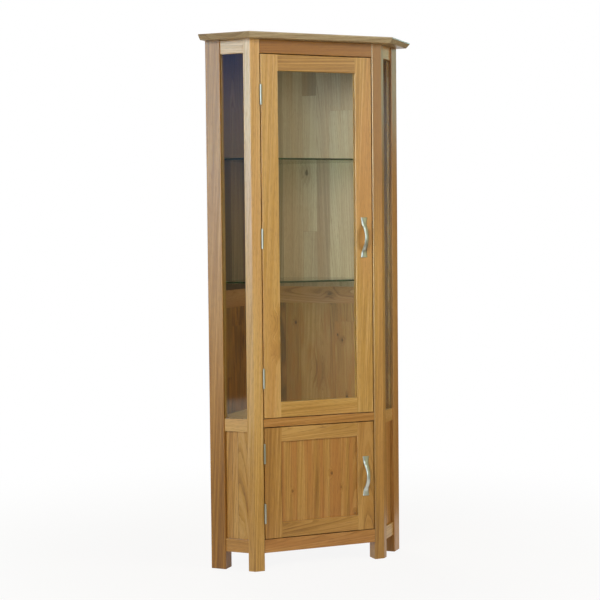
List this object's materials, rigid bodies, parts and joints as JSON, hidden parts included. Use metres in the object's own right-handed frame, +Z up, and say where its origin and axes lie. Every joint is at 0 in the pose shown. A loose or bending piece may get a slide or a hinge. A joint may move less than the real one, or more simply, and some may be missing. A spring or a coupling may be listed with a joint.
{
  "type": "corner display cabinet",
  "caption": "Tall oak corner cabinet: glazed display above with glass shelves and glazed returns, panelled cupboard below, hinged doors, overhanging top.",
  "frame": {"origin": "on the floor, at the middle of the overall box in plan", "axes": "+Z up, the doors face -Y, the room's corner is at +Y, +X to the right as seen from the front"},
  "size_m": [0.784, 0.5234, 1.8],
  "materials": {
    "oak": "satin lacquered solid oak",
    "staved_oak": "satin lacquered oak, glued up from staves",
    "clear_glass": "clear float glass",
    "shelf_glass": "clear float glass with polished green edges",
    "nickel": "satin nickel plate",
    "steel": "zinc plated",
    "catch_plastic": "moulded"
  },
  "bodies": {
    "carcass": {"front_post_left": "oak", "front_post_right": "oak", "rear_post_left": "oak", "rear_post_right": "oak", "back_post": "oak", "top_slab": "oak", "front_top_rail": "oak", "front_mid_rail": "oak", "front_bottom_rail": "oak", "side_top_rail_left": "oak", "side_top_rail_right": "oak", "side_mid_rail_left": "oak", "side_mid_rail_right": "oak", "side_bottom_rail_left": "oak", "side_bottom_rail_right": "oak", "side_glass_beads_left": "oak", "side_glass_beads_right": "oak", "back_rail_left": "oak", "back_rail_right": "oak", "side_panel_left": "oak", "side_panel_right": "oak", "floor_board": "oak", "middle_board": "oak", "board_cleats": "oak", "back_panel_upper_left": "staved_oak", "back_panel_upper_right": "staved_oak", "back_panel_lower_left": "staved_oak", "back_panel_lower_right": "staved_oak", "side_glass_left": "clear_glass", "side_glass_right": "clear_glass", "glass_shelf_lower": "shelf_glass", "glass_shelf_upper": "shelf_glass", "upper_hinge_post_leaves": "nickel", "lower_hinge_post_leaves": "nickel", "hinge_pins": "nickel", "shelf_pegs": "nickel", "frame_hinge_screws": "steel", "upper_catch": "catch_plastic", "lower_catch": "catch_plastic"},
    "upper_door": {"upper_door_hinge_stile": "oak", "upper_door_latch_stile": "oak", "upper_door_top_rail": "oak", "upper_door_bottom_rail": "oak", "upper_door_beads": "oak", "upper_door_glass": "clear_glass", "upper_hinge_door_leaves": "nickel", "upper_door_handle": "nickel", "upper_door_hinge_screws": "steel", "upper_door_handle_screws": "steel", "upper_door_catch_plate": "steel"},
    "lower_door": {"lower_door_hinge_stile": "oak", "lower_door_latch_stile": "oak", "lower_door_top_rail": "oak", "lower_door_bottom_rail": "oak", "lower_door_panel": "oak", "lower_hinge_door_leaves": "nickel", "lower_door_handle": "nickel", "lower_door_hinge_screws": "steel", "lower_door_handle_screws": "steel", "lower_door_catch_plate": "steel"}
  },
  "joints": [
    {"name": "upper_door_hinge", "type": "hinge", "parent": "carcass", "child": "upper_door", "pos_m": [-0.2035, -0.21427, 1.12], "axis": [0, 0, -1], "range_deg": [0, 160]},
    {"name": "lower_door_hinge", "type": "hinge", "parent": "carcass", "child": "lower_door", "pos_m": [-0.2035, -0.21427, 0.2955], "axis": [0, 0, -1], "range_deg": [0, 160]}
  ]
}
